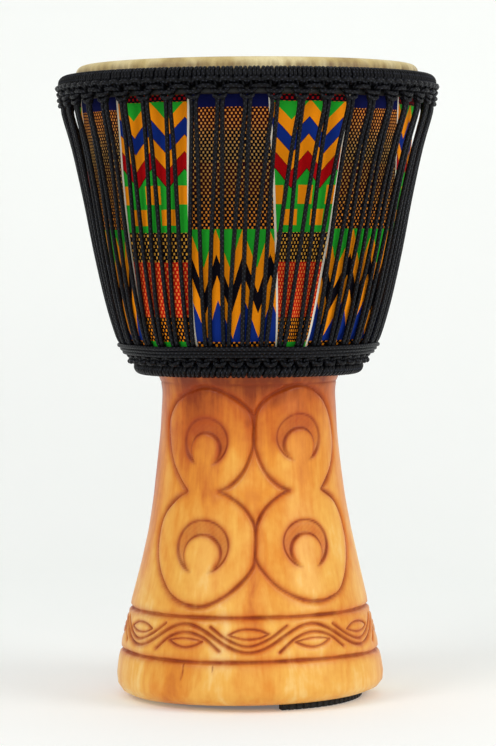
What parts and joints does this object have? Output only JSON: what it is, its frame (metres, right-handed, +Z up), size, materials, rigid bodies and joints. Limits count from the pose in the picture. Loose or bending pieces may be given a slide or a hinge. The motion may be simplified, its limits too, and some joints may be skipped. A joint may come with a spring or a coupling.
{
  "type": "djembe",
  "caption": "Rope-tuned goblet hand drum: goatskin head, steel hoops in knotted rope cradles, zigzag lacing, printed cloth sleeve and a carved wooden foot.",
  "frame": {"origin": "centre of the drum's base, on the floor under the rubber strip", "axes": "+Z up along the drum's axis to the head, -Y towards the front where the large carving is, +X to the viewer's right"},
  "size_m": [0.3734, 0.3732, 0.61],
  "materials": {
    "wood": "satin varnish over hand carving",
    "goatskin": "shaved rawhide",
    "ring_steel": "black paint",
    "black_rope": "braided polyester cord",
    "strip_cloth": "printed cotton",
    "tyre_rubber": "ribbed tyre tread",
    "tack_steel": "plain"
  },
  "bodies": {
    "drum": {"shell": "wood", "drumhead": "goatskin", "cloth_wrap": "strip_cloth", "lacing": "black_rope", "girth_rope": "black_rope", "base_ring": "ring_steel", "base_cradle": "black_rope", "rubber_foot": "tyre_rubber", "foot_tacks": "tack_steel"},
    "head_rings": {"crown_ring": "ring_steel", "flesh_ring": "ring_steel", "top_cradle": "black_rope"}
  },
  "joints": [
    {"name": "ring_tuning", "type": "slide", "parent": "drum", "child": "head_rings", "axis": [0, 0, 1], "range_m": [-0.006, 0.008], "deforming": ["drumhead", "lacing"]}
  ]
}
